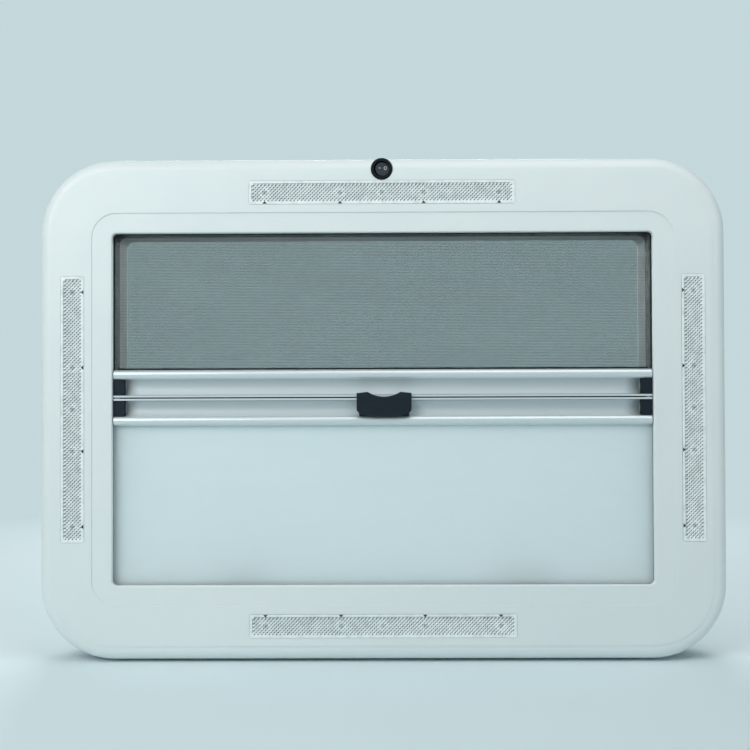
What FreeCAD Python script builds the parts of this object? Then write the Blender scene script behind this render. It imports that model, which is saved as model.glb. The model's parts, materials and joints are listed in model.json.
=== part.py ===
import FreeCAD, Part
import os

import Sketcher
from FreeCAD import Placement, Rotation, Vector

# A caravan roof skylight: a trim frame with lights, a fly screen and a blind on the room side,
# and a flanged frame with a double acrylic dome outdoors. It stands on its long edge as in use
# on a table: X to the right, Z up, and Y from the room to the outdoors.
# Depths are counted from the roof's outer skin: positive into the room, negative outdoors.
# Every size below is a row of the spreadsheet, in millimetres or degrees.
dimensions = {
    # roof
    "roof_thickness": 35,
    "cutout_margin": 20,
    # trim frame
    "frame_width": 740,
    "frame_height": 540,
    "frame_radius": 80,
    "frame_depth": 22,
    "frame_wall": 2.5,
    "face_wall": 3,
    "rim_width": 16,
    "rim_round": 13,
    "panel_rise": 0.8,
    "border_side": 79,
    "border_long": 80.5,
    "aperture_radius": 5,
    "aperture_round": 1.5,
    "bezel_width": 21.8,
    "bezel_radius": 27,
    "bezel_drop": 1,
    "seat_drop": 7,
    "return_wall": 3,
    # lights
    "lens_length": 286,
    "lens_width": 25,
    "lens_radius": 2,
    "lens_border": 3,
    "lens_plate": 1.2,
    "lens_recess": 1,
    "lens_body": 3,
    "lens_wall": 1.5,
    "lens_hollow": 1.7,
    "lens_fit": 0.3,
    "notch_width": 5,
    "notch_depth": 1.6,
    "notch_near": 45,
    "notch_inset": 17,
    "trough_wall": 1.5,
    "board_inset": 8,
    "board_width": 13,
    "board_thickness": 1.5,
    "chip_size": 5,
    "chip_height": 0.9,
    "chip_inset": 9,
    # switch
    "switch_drop": 12.4,
    "switch_boss": 24.2,
    "boss_drop": 0.5,
    "boss_length": 16,
    "switch_bezel": 23.4,
    "switch_bezel_height": 2,
    "switch_bezel_edge": 1.2,
    "switch_barrel": 19,
    "switch_barrel_length": 15,
    "switch_fit": 0.3,
    "switch_well": 16.6,
    "terminal_width": 4.8,
    "terminal_thickness": 0.8,
    "terminal_length": 4,
    "terminal_spacing": 8,
    "rocker_diameter": 14.6,
    "rocker_rise": 5,
    "rocker_keel": 3,
    "rocker_drop": 1.5,
    "rocker_dish": 30,
    "rocker_sag": 0.9,
    "rocker_tilt": 8,
    "pivot_diameter": 2.4,
    "pivot_length": 18,
    "pivot_fit": 0.05,
    "well_room": 1.6,
    # side tracks and roller cassettes
    "cassette_depth": 30,
    "cassette_height": 48,
    "cassette_wall": 2,
    "cassette_end": 3,
    "track_width": 24,
    "track_wall": 1.5,
    "slot_depth": 14,
    "slot_width": 7,
    "roll_diameter": 19,
    "roll_end_gap": 4,
    "journal_diameter": 6,
    "journal_fit": 0.3,
    # fabrics
    "fabric_thickness": 0.6,
    "fabric_margin": 9,
    "fabric_gap": 0.3,
    # pull bars
    "meet_height": 11.9,
    "bar_gap": 1.4,
    "bar_height": 29.5,
    "bar_depth": 12.5,
    "bar_recess": 3.5,
    "bar_end_gap": 1,
    "rail_height": 10.5,
    "rail_round": 4.9,
    "rail_wall": 2,
    "lip_thickness": 2,
    "lip_setback": 0.5,
    "web_thickness": 2,
    "groove_width": 1.8,
    "groove_depth": 6,
    "cap_length": 11,
    "cap_setback": 2,
    "tongue_length": 12,
    "tongue_fit": 0.7,
    "tongue_trim": 1,
    # pull handle
    "handle_width": 59,
    "handle_shift": 1.7,
    "handle_above": 17.9,
    "handle_below": 8.7,
    "handle_plate": 5.5,
    "handle_front_gap": 0.5,
    "handle_ear_drop": 1.3,
    "handle_corner_run": 3.5,
    "handle_corner_rise": 4.6,
    "handle_belly": 2.5,
    "handle_edge": 1.3,
    "handle_notch_width": 35,
    "handle_notch_depth": 5.2,
    "handle_foot": 54,
    # outer frame
    "flange_thickness": 4,
    "flange_radius": 60,
    "curb_height": 16,
    "curb_inset": 27,
    "curb_radius": 45,
    "curb_wall": 3,
    "rebate_depth": 1,
    "rebate_fit": 0.3,
    "spigot_fit": 2,
    "spigot_depth": 18,
    "spigot_wall": 2.5,
    "spigot_radius": 40,
    "tunnel_radius": 8,
    "tunnel_wall": 3,
    "screw_hole": 4.5,
    "screw_edge": 6.5,
    "screw_end": 70,
    "screw_long_near": 100,
    "screw_short": 150,
    # dome
    "gasket_edge": 8,
    "gasket_width": 12,
    "gasket_thickness": 4,
    "pane_thickness": 2.5,
    "inner_pane_thickness": 2,
    "skirt_gap": 3,
    "dome_height": 48,
    "dome_slope_height": 27,
    "dome_slope_width": 46,
    "crown_round": 10,
    "shoulder_round": 8,
    # hinges, latches and stays
    "hinge_width": 50,
    "hinge_spread": 200,
    "hinge_edge": 15,
    "hinge_leaf": 2.5,
    "hinge_leaf_width": 14,
    "hinge_web": 4,
    "hinge_barrel": 9,
    "knuckle_groove": 1,
    "knuckle_depth": 1.2,
    "latch_spread": 150,
    "latch_edge": 24,
    "latch_length": 44,
    "latch_width": 22,
    "latch_plate": 4,
    "latch_hub": 16,
    "latch_hub_height": 4,
    "lever_length": 58,
    "lever_width": 12,
    "lever_thickness": 4,
    "stay_top": 14,
    "stay_bottom": 150,
    "stay_tube": 8,
    "stay_rod": 5,
    "stay_sleeve": 95,
    "stay_wall_gap": 9,
    "stay_depth": 11,
    "stay_foot": 14,
}

doc = FreeCAD.newDocument("RoofSkylight")
sheet = doc.addObject("Spreadsheet::Sheet", "Sizes")
for row, (alias, number) in enumerate(dimensions.items(), start=1):
    sheet.set(f"A{row}", alias)
    sheet.set(f"B{row}", str(number))
    sheet.setAlias(f"B{row}", alias)
doc.recompute()


class Size:
    """A length held both as a number and as the spreadsheet formula that gives it."""

    def __init__(self, value, text):
        self.value = value
        self.text = text

    def joined(self, other, sign, swap=False):
        other = as_size(other)
        left, right = (other, self) if swap else (self, other)
        results = {
            "+": lambda a, b: a + b,
            "-": lambda a, b: a - b,
            "*": lambda a, b: a * b,
            "/": lambda a, b: a / b,
        }
        value = results[sign](left.value, right.value)
        return Size(value, f"({left.text} {sign} {right.text})")

    def __add__(self, other):
        return self.joined(other, "+")

    def __radd__(self, other):
        return self.joined(other, "+", swap=True)

    def __sub__(self, other):
        return self.joined(other, "-")

    def __rsub__(self, other):
        return self.joined(other, "-", swap=True)

    def __mul__(self, other):
        return self.joined(other, "*")

    def __rmul__(self, other):
        return self.joined(other, "*", swap=True)

    def __truediv__(self, other):
        return self.joined(other, "/")

    def __neg__(self):
        return 0 - self


def as_size(number):
    """Gives a plain number the same form as a spreadsheet size."""
    return number if isinstance(number, Size) else Size(float(number), f"{float(number):g}")


class SizeRow:
    """Reads one spreadsheet row by its alias, as in size.frame_width."""

    def __getattr__(self, alias):
        return Size(float(sheet.get(alias)), f"Sizes.{alias}")


size = SizeRow()


# Depths that several pieces share
ceiling = size.roof_thickness
panel_face = ceiling + size.frame_depth
rim_face = panel_face - size.panel_rise
bezel_face = panel_face - size.bezel_drop
face_back = bezel_face - size.face_wall
seat = panel_face - size.seat_drop
cassette_back = seat - size.cassette_depth
trough_floor = seat + size.trough_wall
lens_seat = panel_face - size.lens_recess
boss_face = panel_face - size.boss_drop
rocker_pivot = boss_face - size.rocker_drop - size.rocker_keel
bar_front = panel_face - size.bar_recess
bar_back = bar_front - size.bar_depth
web_front = bar_back + size.web_thickness
slot_front = seat - size.track_wall
slot_back = slot_front - size.slot_width
fabric_front = web_front + size.groove_width - size.fabric_gap
fabric_back = fabric_front - size.fabric_thickness
land = -size.curb_height
pane_face = land - size.gasket_thickness

# Half sizes and heights from the middle of the opening
aperture_width = size.frame_width - 2 * size.border_side
aperture_height = size.frame_height - 2 * size.border_long
half_width = aperture_width / 2
half_height = aperture_height / 2
light_height = (half_height + size.bezel_width + size.frame_height / 2 - size.rim_width) / 2
light_reach = (half_width + size.bezel_width + size.frame_width / 2 - size.rim_width) / 2
switch_height = size.frame_height / 2 - size.switch_drop
middle = size.frame_height / 2
roll_height = half_height + size.cassette_height / 2
roll_depth = fabric_back - size.fabric_gap - size.roll_diameter / 2
bar_half = half_width - size.bar_end_gap


def bind(target, name, formula):
    """Ties a property to the spreadsheet."""
    target.setExpression(name, as_size(formula).text)


def new_body(label, x=0, depth=0, height=0, axis=None, angle=0):
    """A body placed from the middle of the opening, which stands half the frame above the floor."""
    body = doc.addObject("PartDesign::Body", label)
    body.Label = label
    turn = Rotation(axis, as_size(angle).value) if axis else Rotation()
    body.Placement = Placement(Vector(0, 0, 0), turn)
    bind(body, "Placement.Base.x", x)
    bind(body, "Placement.Base.y", -as_size(depth))
    bind(body, "Placement.Base.z", middle + height)
    if axis:
        bind(body, "Placement.Rotation.Angle", angle)
    return body


def new_sketch(body, plane, depth=0, x=0, y=0):
    """A sketch on one of the body's own origin planes, moved off it by the given sizes.

    On XZ_Plane the sketch looks from the room, so depth is its way towards the room.
    """
    sketch = body.newObject("Sketcher::SketchObject", f"{body.Name}_sketch")
    support = [item for item in body.Origin.OriginFeatures if item.Role == plane][0]
    sketch.AttachmentSupport = [(support, "")]
    sketch.MapMode = "FlatFace"
    bind(sketch, "AttachmentOffset.Base.x", x)
    bind(sketch, "AttachmentOffset.Base.y", y)
    bind(sketch, "AttachmentOffset.Base.z", depth)
    return sketch


def dimension(sketch, formula, *reference):
    """Adds a driving constraint and ties it to the spreadsheet."""
    formula = as_size(formula)
    index = sketch.addConstraint(Sketcher.Constraint(*reference, formula.value))
    sketch.renameConstraint(index, f"size_{index}")
    sketch.setExpression(f"Constraints.size_{index}", formula.text)


def rounded_rectangle(sketch, width, height, radius):
    """Four lines and four tangent arcs, centred on the sketch's origin."""
    across, up, bend = as_size(width).value / 2, as_size(height).value / 2, as_size(radius).value
    first = sketch.GeometryCount
    top, right, bottom, left = range(first, first + 4)
    arcs = range(first + 4, first + 8)
    lines = [
        (Vector(bend - across, up, 0), Vector(across - bend, up, 0)),
        (Vector(across, up - bend, 0), Vector(across, bend - up, 0)),
        (Vector(across - bend, -up, 0), Vector(bend - across, -up, 0)),
        (Vector(-across, bend - up, 0), Vector(-across, up - bend, 0)),
    ]
    for start, end in lines:
        sketch.addGeometry(Part.LineSegment(start, end), False)
    quarter = 1.5707963267948966
    corners = [
        (across - bend, up - bend, 0),
        (across - bend, bend - up, 3),
        (bend - across, bend - up, 2),
        (bend - across, up - bend, 1),
    ]
    for x, y, turns in corners:
        circle = Part.Circle(Vector(x, y, 0), Vector(0, 0, 1), bend)
        sketch.addGeometry(Part.ArcOfCircle(circle, turns * quarter, (turns + 1) * quarter), False)
    joins = [
        (top, 2, arcs[0], 2),
        (right, 1, arcs[0], 1),
        (right, 2, arcs[1], 2),
        (bottom, 1, arcs[1], 1),
        (bottom, 2, arcs[2], 2),
        (left, 1, arcs[2], 1),
        (left, 2, arcs[3], 2),
        (top, 1, arcs[3], 1),
    ]
    for join in joins:
        sketch.addConstraint(Sketcher.Constraint("Tangent", *join))
    for line in (top, bottom):
        sketch.addConstraint(Sketcher.Constraint("Horizontal", line))
    for line in (left, right):
        sketch.addConstraint(Sketcher.Constraint("Vertical", line))
    for arc in arcs[1:]:
        sketch.addConstraint(Sketcher.Constraint("Equal", arcs[0], arc))
    sketch.addConstraint(Sketcher.Constraint("Symmetric", arcs[0], 3, arcs[2], 3, -1, 1))
    dimension(sketch, width, "DistanceX", left, 1, right, 1)
    dimension(sketch, height, "DistanceY", bottom, 1, top, 1)
    dimension(sketch, radius, "Radius", arcs[0])


def place_point(sketch, element, vertex, x, y):
    """Fixes a sketch point at two spreadsheet sizes from the sketch's origin."""
    for kind, axis, formula in (("DistanceX", -2, x), ("DistanceY", -1, y)):
        if as_size(formula).value == 0:
            sketch.addConstraint(Sketcher.Constraint("PointOnObject", element, vertex, axis))
        else:
            dimension(sketch, formula, kind, -1, 1, element, vertex)


def outline(sketch, points):
    """A closed run of straight lines whose corners are all spreadsheet sizes."""
    first = sketch.GeometryCount
    places = [Vector(as_size(x).value, as_size(y).value, 0) for x, y in points]
    for index, start in enumerate(places):
        end = places[(index + 1) % len(places)]
        sketch.addGeometry(Part.LineSegment(start, end), False)
    for index, (x, y) in enumerate(points):
        after = first + (index + 1) % len(points)
        sketch.addConstraint(Sketcher.Constraint("Coincident", first + index, 2, after, 1))
        place_point(sketch, first + index, 1, x, y)


def rectangle(sketch, x0, x1, y0, y1):
    """A plain rectangle between two pairs of sizes."""
    outline(sketch, [(x0, y0), (x1, y0), (x1, y1), (x0, y1)])


def circle(sketch, diameter, x=0, y=0):
    """A circle with its centre at two sizes from the sketch's origin."""
    centre = Vector(as_size(x).value, as_size(y).value, 0)
    element = sketch.addGeometry(Part.Circle(centre, Vector(0, 0, 1), as_size(diameter).value / 2), False)
    place_point(sketch, element, 3, x, y)
    dimension(sketch, diameter, "Diameter", element)


def extrude(kind, body, sketch, length, reverse, both):
    """The shared part of pads and pockets."""
    feature = body.newObject(f"PartDesign::{kind}", f"{body.Name}_{kind.lower()}")
    feature.Profile = sketch
    feature.Type = "Length"
    feature.SideType = "Symmetric" if both else "One side"
    feature.Reversed = reverse
    bind(feature, "Length", length)
    return feature


def pad(body, sketch, length, reverse=False, both=False):
    """Adds material along the sketch's normal, towards the room on XZ_Plane."""
    return extrude("Pad", body, sketch, length, reverse, both)


def pocket(body, sketch, length, reverse=False, both=False):
    """Cuts against the sketch's normal, away from the room on XZ_Plane."""
    return extrude("Pocket", body, sketch, length, reverse, both)


def revolve(body, sketch, axis):
    """A full turn about one of the body's own origin axes."""
    feature = body.newObject("PartDesign::Revolution", f"{body.Name}_revolution")
    feature.Profile = sketch
    spindle = [item for item in body.Origin.OriginFeatures if item.Role == axis][0]
    feature.ReferenceAxis = (spindle, [""])
    feature.Angle = 360
    return feature


def edges_where(feature, test):
    """Names of the edges whose end points all pass the test on x, depth and height."""
    doc.recompute()
    names = []
    for index, edge in enumerate(feature.Shape.Edges, start=1):
        if all(test(point.X, -point.Y, point.Z) for point in edge.Vertexes):
            names.append(f"Edge{index}")
    return names


def near(value, formula, room=0.01):
    """True where a coordinate lies on a spreadsheet size."""
    return abs(value - as_size(formula).value) < room


def fillet(body, feature, radius, test):
    """Rounds the edges that pass the test."""
    rounding = body.newObject("PartDesign::Fillet", f"{body.Name}_fillet")
    rounding.Base = (feature, edges_where(feature, test))
    bind(rounding, "Radius", radius)
    return rounding


def inner_frame():
    """The moulded trim frame: rounded rim, raised panel, recessed bezel, light troughs, switch boss."""
    body = new_body("inner_frame")
    sketch = new_sketch(body, "XZ_Plane", ceiling)
    rounded_rectangle(sketch, size.frame_width, size.frame_height, size.frame_radius)
    pad(body, sketch, rim_face - ceiling)

    # the back is open, with a wall of even thickness under the rounded rim
    sketch = new_sketch(body, "XZ_Plane", ceiling)
    rounded_rectangle(
        sketch,
        size.frame_width - 2 * size.frame_wall,
        size.frame_height - 2 * size.frame_wall,
        size.frame_radius - size.frame_wall,
    )
    hollow = pocket(body, sketch, face_back - ceiling, reverse=True)
    inside = fillet(
        body, hollow, size.rim_round - size.frame_wall, lambda x, depth, z: near(depth, face_back)
    )
    fillet(body, inside, size.rim_round, lambda x, depth, z: near(depth, rim_face))

    sketch = new_sketch(body, "XZ_Plane", rim_face)
    rounded_rectangle(
        sketch,
        size.frame_width - 2 * size.rim_width,
        size.frame_height - 2 * size.rim_width,
        size.frame_radius - size.rim_width,
    )
    pad(body, sketch, size.panel_rise)

    sketch = new_sketch(body, "XZ_Plane", panel_face)
    rounded_rectangle(
        sketch,
        aperture_width + 2 * size.bezel_width,
        aperture_height + 2 * size.bezel_width,
        size.bezel_radius,
    )
    pocket(body, sketch, size.bezel_drop)

    # the return round the opening, and the troughs that hold the lights
    sketch = new_sketch(body, "XZ_Plane", seat)
    rounded_rectangle(
        sketch,
        aperture_width + 2 * size.return_wall,
        aperture_height + 2 * size.return_wall,
        size.aperture_radius + size.return_wall,
    )
    pad(body, sketch, face_back - seat)
    slot_length = size.lens_length - 2 * size.lens_border
    slot_width = size.lens_width - 2 * size.lens_border
    for x, y, across in light_places():
        sketch = new_sketch(body, "XZ_Plane", seat, x, y)
        wall = 2 * size.trough_wall
        turned_rectangle(sketch, across, slot_length + wall, slot_width + wall)
        pad(body, sketch, face_back - seat)

    sketch = new_sketch(body, "XZ_Plane", boss_face - size.boss_length, 0, switch_height)
    circle(sketch, size.switch_boss)
    pad(body, sketch, size.boss_length)
    for diameter, length in (
        (size.switch_bezel, size.boss_drop),
        (size.switch_barrel, size.boss_drop + size.boss_length),
    ):
        sketch = new_sketch(body, "XZ_Plane", panel_face, 0, switch_height)
        circle(sketch, diameter + 2 * size.switch_fit)
        pocket(body, sketch, length)

    for x, y, across in light_places():
        sketch = new_sketch(body, "XZ_Plane", panel_face, x, y)
        room = 2 * size.lens_fit
        turned_rectangle(sketch, across, size.lens_length + room, size.lens_width + room)
        pocket(body, sketch, size.lens_recess)
        sketch = new_sketch(body, "XZ_Plane", panel_face, x, y)
        turned_rectangle(sketch, across, slot_length, slot_width)
        pocket(body, sketch, panel_face - trough_floor)

    sketch = new_sketch(body, "XZ_Plane", panel_face)
    rounded_rectangle(sketch, aperture_width, aperture_height, size.aperture_radius)
    opening = pocket(body, sketch, panel_face - seat)
    reach = half_width + size.bezel_width / 2
    rise = half_height + size.bezel_width / 2
    fillet(
        body,
        opening,
        size.aperture_round,
        lambda x, depth, z: near(depth, bezel_face) and abs(x) < reach.value and abs(z) < rise.value,
    )
    return body


def light_places():
    """Where the four lights lie on the panel, and which of them run across."""
    return [
        (0, light_height, True),
        (0, -light_height, True),
        (-light_reach, 0, False),
        (light_reach, 0, False),
    ]


def turned_rectangle(sketch, across, length, width):
    """A light's rounded outline, along X for the long sides and along Z for the short ones."""
    if across:
        rounded_rectangle(sketch, length, width, size.lens_radius)
    else:
        rounded_rectangle(sketch, width, length, size.lens_radius)


light_sides = {
    "top": (0, light_height),
    "bottom": (0, -light_height),
    "left": (-light_reach, 0),
    "right": (light_reach, 0),
}
light_angle = {"top": 0, "bottom": 180, "left": -90, "right": 90}


def light_lens(side):
    """A clear lens: a thin plate with clip notches, over a hollow body that drops into the trough."""
    x, height = light_sides[side]
    body = new_body(f"light_lens_{side}", x, 0, height, Vector(0, 1, 0), light_angle[side])
    sketch = new_sketch(body, "XZ_Plane", lens_seat)
    rounded_rectangle(sketch, size.lens_length, size.lens_width, size.lens_radius)
    pad(body, sketch, size.lens_plate)

    inset = 2 * size.lens_border + 2 * size.lens_fit
    length = size.lens_length - inset
    width = size.lens_width - inset
    sketch = new_sketch(body, "XZ_Plane", lens_seat - size.lens_body)
    rounded_rectangle(sketch, length, width, size.lens_radius)
    pad(body, sketch, size.lens_body)
    sketch = new_sketch(body, "XZ_Plane", lens_seat - size.lens_body)
    rounded_rectangle(
        sketch, length - 2 * size.lens_wall, width - 2 * size.lens_wall, size.lens_radius / 2
    )
    pocket(body, sketch, size.lens_hollow, reverse=True)

    sketch = new_sketch(body, "XZ_Plane", lens_seat + size.lens_plate)
    edge = -size.lens_width / 2
    notch_far = size.lens_length / 2 - size.notch_inset
    for place in (-notch_far, -size.notch_near, size.notch_near, notch_far):
        half = size.notch_width / 2
        rectangle(sketch, place - half, place + half, edge - size.lens_fit, edge + size.notch_depth)
    pocket(body, sketch, size.lens_plate)
    return body


def light_board(side):
    """A circuit board strip on the floor of the trough, with its light chips."""
    x, height = light_sides[side]
    body = new_body(f"light_board_{side}", x, 0, height, Vector(0, 1, 0), light_angle[side])
    sketch = new_sketch(body, "XZ_Plane", trough_floor)
    half_length = size.lens_length / 2 - size.board_inset
    half_board = size.board_width / 2
    rectangle(sketch, -half_length, half_length, -half_board, half_board)
    pad(body, sketch, size.board_thickness)
    sketch = new_sketch(body, "XZ_Plane", trough_floor + size.board_thickness)
    half = size.chip_size / 2
    far = half_length - size.chip_inset
    notch_far = size.lens_length / 2 - size.notch_inset
    near_middle = far * size.notch_near / notch_far
    for place in (-far, -near_middle, as_size(0), near_middle, far):
        rectangle(sketch, place - half, place + half, -half, half)
    pad(body, sketch, size.chip_height)
    return body


def switch_housing():
    """The round switch: a bezel on the boss, a barrel with the rocker's well, and two terminals."""
    body = new_body("switch_housing", 0, 0, switch_height)
    sketch = new_sketch(body, "YZ_Plane")
    top = boss_face + size.switch_bezel_height
    barrel_end = boss_face - size.switch_barrel_length
    well_floor = rocker_pivot - size.rocker_keel - size.well_room
    bezel = size.switch_bezel / 2
    barrel = size.switch_barrel / 2
    well = size.switch_well / 2
    outline(
        sketch,
        [
            (-well_floor, 0),
            (-well_floor, well),
            (-top, well),
            (-top, bezel - size.switch_bezel_edge),
            (size.switch_bezel_edge - top, bezel),
            (-boss_face, bezel),
            (-boss_face, barrel),
            (-barrel_end, barrel),
            (-barrel_end, 0),
        ],
    )
    revolve(body, sketch, "Y_Axis")
    sketch = new_sketch(body, "XY_Plane")
    circle(sketch, size.pivot_diameter + 2 * size.pivot_fit, 0, -rocker_pivot)
    pocket(body, sketch, size.pivot_length + 2 * size.pivot_fit, both=True)
    sketch = new_sketch(body, "XZ_Plane", barrel_end)
    half = size.terminal_thickness / 2
    for side in (-1, 1):
        centre = side * size.terminal_spacing / 2
        rectangle(
            sketch, centre - half, centre + half, -size.terminal_width / 2, size.terminal_width / 2
        )
    pad(body, sketch, size.terminal_length, reverse=True)
    return body


def switch_rocker():
    """The rocker: a dished round button on a cross pin, at rest with its right side pressed in."""
    body = new_body("switch_rocker", 0, rocker_pivot, switch_height, Vector(0, 0, 1), size.rocker_tilt)
    sketch = new_sketch(body, "XZ_Plane", -size.rocker_keel)
    circle(sketch, size.rocker_diameter)
    pad(body, sketch, size.rocker_keel + size.rocker_rise)
    sketch = new_sketch(body, "XY_Plane")
    circle(sketch, 2 * size.rocker_dish, 0, size.rocker_sag - size.rocker_rise - size.rocker_dish)
    pocket(body, sketch, size.switch_well, both=True)
    sketch = new_sketch(body, "XY_Plane")
    circle(sketch, size.pivot_diameter)
    pad(body, sketch, size.pivot_length, both=True)
    return body


def side_track(side):
    """A dark plastic guide: a slot for the bar ends and fabric edges, over a hollow chamber."""
    sign = -1 if side == "left" else 1
    body = new_body(f"side_track_{side}")
    sketch = new_sketch(body, "XY_Plane")
    inner = sign * half_width
    outer = sign * (half_width + size.track_width)
    slot_end = sign * (half_width + size.slot_depth)
    outline(
        sketch,
        [
            (inner, -seat),
            (outer, -seat),
            (outer, -cassette_back),
            (inner, -cassette_back),
            (inner, -slot_back),
            (slot_end, -slot_back),
            (slot_end, -slot_front),
            (inner, -slot_front),
        ],
    )
    rectangle(
        sketch,
        inner + sign * size.track_wall,
        outer - sign * size.track_wall,
        -(cassette_back + size.track_wall),
        -(slot_back - size.track_wall),
    )
    pad(body, sketch, aperture_height, both=True)
    return body


def cassette(label, sign):
    """A roller housing behind the frame, open towards the window by one long slot."""
    body = new_body(label)
    near_edge = sign * half_height
    far_edge = sign * (half_height + size.cassette_height)
    length = aperture_width + 2 * size.track_width
    sketch = new_sketch(body, "YZ_Plane")
    rectangle(sketch, -seat, -cassette_back, near_edge, far_edge)
    pad(body, sketch, length, both=True)
    wall = size.cassette_wall
    sketch = new_sketch(body, "YZ_Plane")
    outline(
        sketch,
        [
            (-slot_front, near_edge - sign * wall),
            (-slot_back, near_edge - sign * wall),
            (-slot_back, near_edge + sign * wall),
            (-(cassette_back + wall), near_edge + sign * wall),
            (-(cassette_back + wall), far_edge - sign * wall),
            (-slot_front, far_edge - sign * wall),
        ],
    )
    pocket(body, sketch, length - 2 * size.cassette_end, both=True)
    sketch = new_sketch(body, "YZ_Plane")
    circle(sketch, size.journal_diameter + 2 * size.journal_fit, -roll_depth, sign * roll_height)
    pocket(body, sketch, length, both=True)
    return body


def roller(label, sign):
    """A wound roll on a tube, carried by two journals in the cassette's ends."""
    body = new_body(label, 0, roll_depth, sign * roll_height)
    sketch = new_sketch(body, "XY_Plane")
    inside = half_width + size.track_width - size.cassette_end
    roll_end = inside - size.roll_end_gap
    journal_end = inside + size.cassette_end
    roll = size.roll_diameter / 2
    journal = size.journal_diameter / 2
    outline(
        sketch,
        [
            (-journal_end, 0),
            (-journal_end, journal),
            (-roll_end, journal),
            (-roll_end, roll),
            (roll_end, roll),
            (roll_end, journal),
            (journal_end, journal),
            (journal_end, 0),
        ],
    )
    revolve(body, sketch, "X_Axis")
    return body


def bar_place(sign, distance):
    """Height of a point on a pull bar, counted from the bar's meeting edge."""
    return size.meet_height + sign * (size.bar_gap / 2 + distance)


def fabric(label, sign):
    """A stretched fabric from its roller to the groove in its bar."""
    sheet_box = doc.addObject("Part::Box", label)
    sheet_box.Label = label
    roll_end = sign * roll_height
    bar_end = bar_place(sign, size.bar_height - size.groove_depth + size.fabric_gap)
    low = bar_end if sign > 0 else roll_end
    length = roll_end - bar_end if sign > 0 else bar_end - roll_end
    bind(sheet_box, "Length", aperture_width + 2 * size.fabric_margin)
    bind(sheet_box, "Width", size.fabric_thickness)
    bind(sheet_box, "Height", length)
    bind(sheet_box, "Placement.Base.x", -(half_width + size.fabric_margin))
    bind(sheet_box, "Placement.Base.y", -fabric_front)
    bind(sheet_box, "Placement.Base.z", middle + low)
    return sheet_box


def pull_bar(label, sign):
    """An aluminium extrusion: thin lip at the meeting edge, web, and a rounded rail that grips the fabric."""
    body = new_body(label)
    sketch = new_sketch(body, "YZ_Plane")
    lip_front = bar_front - size.lip_setback
    rail_start = size.bar_height - size.rail_height
    groove_back = web_front
    groove_front = web_front + size.groove_width
    groove_end = size.bar_height - size.groove_depth
    profile = [
        (bar_back, as_size(0)),
        (lip_front, as_size(0)),
        (lip_front, size.lip_thickness),
        (web_front, size.lip_thickness),
        (web_front, rail_start),
        (bar_front, rail_start),
        (bar_front, size.bar_height),
        (groove_front, size.bar_height),
        (groove_front, groove_end),
        (groove_back, groove_end),
        (groove_back, size.bar_height),
        (bar_back, size.bar_height),
    ]
    outline(sketch, [(-depth, bar_place(sign, distance)) for depth, distance in profile])
    rectangle(
        sketch,
        -(bar_front - size.rail_wall),
        -(groove_front + size.rail_wall),
        bar_place(sign, rail_start + size.rail_wall),
        bar_place(sign, size.bar_height - size.rail_wall),
    )
    bar = pad(body, sketch, 2 * bar_half, both=True)
    for distance in (rail_start, size.bar_height):
        height = bar_place(sign, distance)
        bar = fillet(
            body,
            bar,
            size.rail_round,
            lambda x, depth, z: near(depth, bar_front) and near(z, height),
        )
    return body


def bar_cap(label, sign, side):
    """A black end plug that fills the bar's channel and runs in the track's slot."""
    body = new_body(label)
    direction = -1 if side == "left" else 1
    end = direction * bar_half
    rail_start = size.bar_height - size.rail_height
    sketch = new_sketch(body, "XZ_Plane", web_front)
    rectangle(
        sketch,
        end - direction * size.cap_length,
        end,
        bar_place(sign, size.lip_thickness),
        bar_place(sign, rail_start),
    )
    pad(body, sketch, bar_front - size.cap_setback - web_front)
    sketch = new_sketch(body, "XZ_Plane", slot_back + size.tongue_fit)
    rectangle(
        sketch,
        end,
        end + direction * size.tongue_length,
        bar_place(sign, size.lip_thickness + size.tongue_trim),
        bar_place(sign, rail_start - size.tongue_trim),
    )
    pad(body, sketch, size.slot_width - 2 * size.tongue_fit)
    return body


def pull_handle():
    """The black pull: a foot in the blind bar's channel and a plate over both lips, with a finger notch."""
    body = new_body("pull_handle", size.handle_shift)
    plate_back = bar_front + size.handle_front_gap
    rail_start = size.bar_height - size.rail_height
    sketch = new_sketch(body, "XZ_Plane", web_front)
    half_foot = size.handle_foot / 2
    rectangle(
        sketch, -half_foot, half_foot, bar_place(-1, rail_start), bar_place(-1, size.lip_thickness)
    )
    pad(body, sketch, plate_back - web_front)

    # plate outline: two ears above, cut corners below, and a bottom edge that bellies out
    half_plate = size.handle_width / 2
    half_belly = half_plate - size.handle_corner_run
    belly = size.handle_belly
    low = -size.handle_below
    right_side = [
        (half_plate, size.handle_above - size.handle_ear_drop),
        (half_plate, low + belly + size.handle_corner_rise),
        (half_belly, low + belly),
        (half_belly * 2 / 3, low + belly * 4 / 9),
        (half_belly / 3, low + belly / 9),
    ]
    left_side = [(-x, z) for x, z in reversed(right_side)]
    half_notch = size.handle_notch_width / 2
    ears = [(-half_notch, size.handle_above), (half_notch, size.handle_above)]
    sketch = new_sketch(body, "XZ_Plane", plate_back)
    outline(sketch, right_side + left_side + ears)
    pad(body, sketch, size.handle_plate)
    deep = size.handle_notch_depth
    bend = (half_notch * half_notch + deep * deep) / (2 * deep)
    plate_face = plate_back + size.handle_plate
    sketch = new_sketch(body, "XZ_Plane", plate_face)
    circle(sketch, 2 * bend, 0, size.handle_above + bend - deep)
    notch = pocket(body, sketch, size.handle_plate)
    fillet(body, notch, size.handle_edge, lambda x, depth, z: near(depth, plate_face))
    return body


def curb_size(inset):
    """Width and height of the curb, moved in by a given size."""
    edge = 2 * size.curb_inset + 2 * as_size(inset)
    return size.frame_width - edge, size.frame_height - edge


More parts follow.
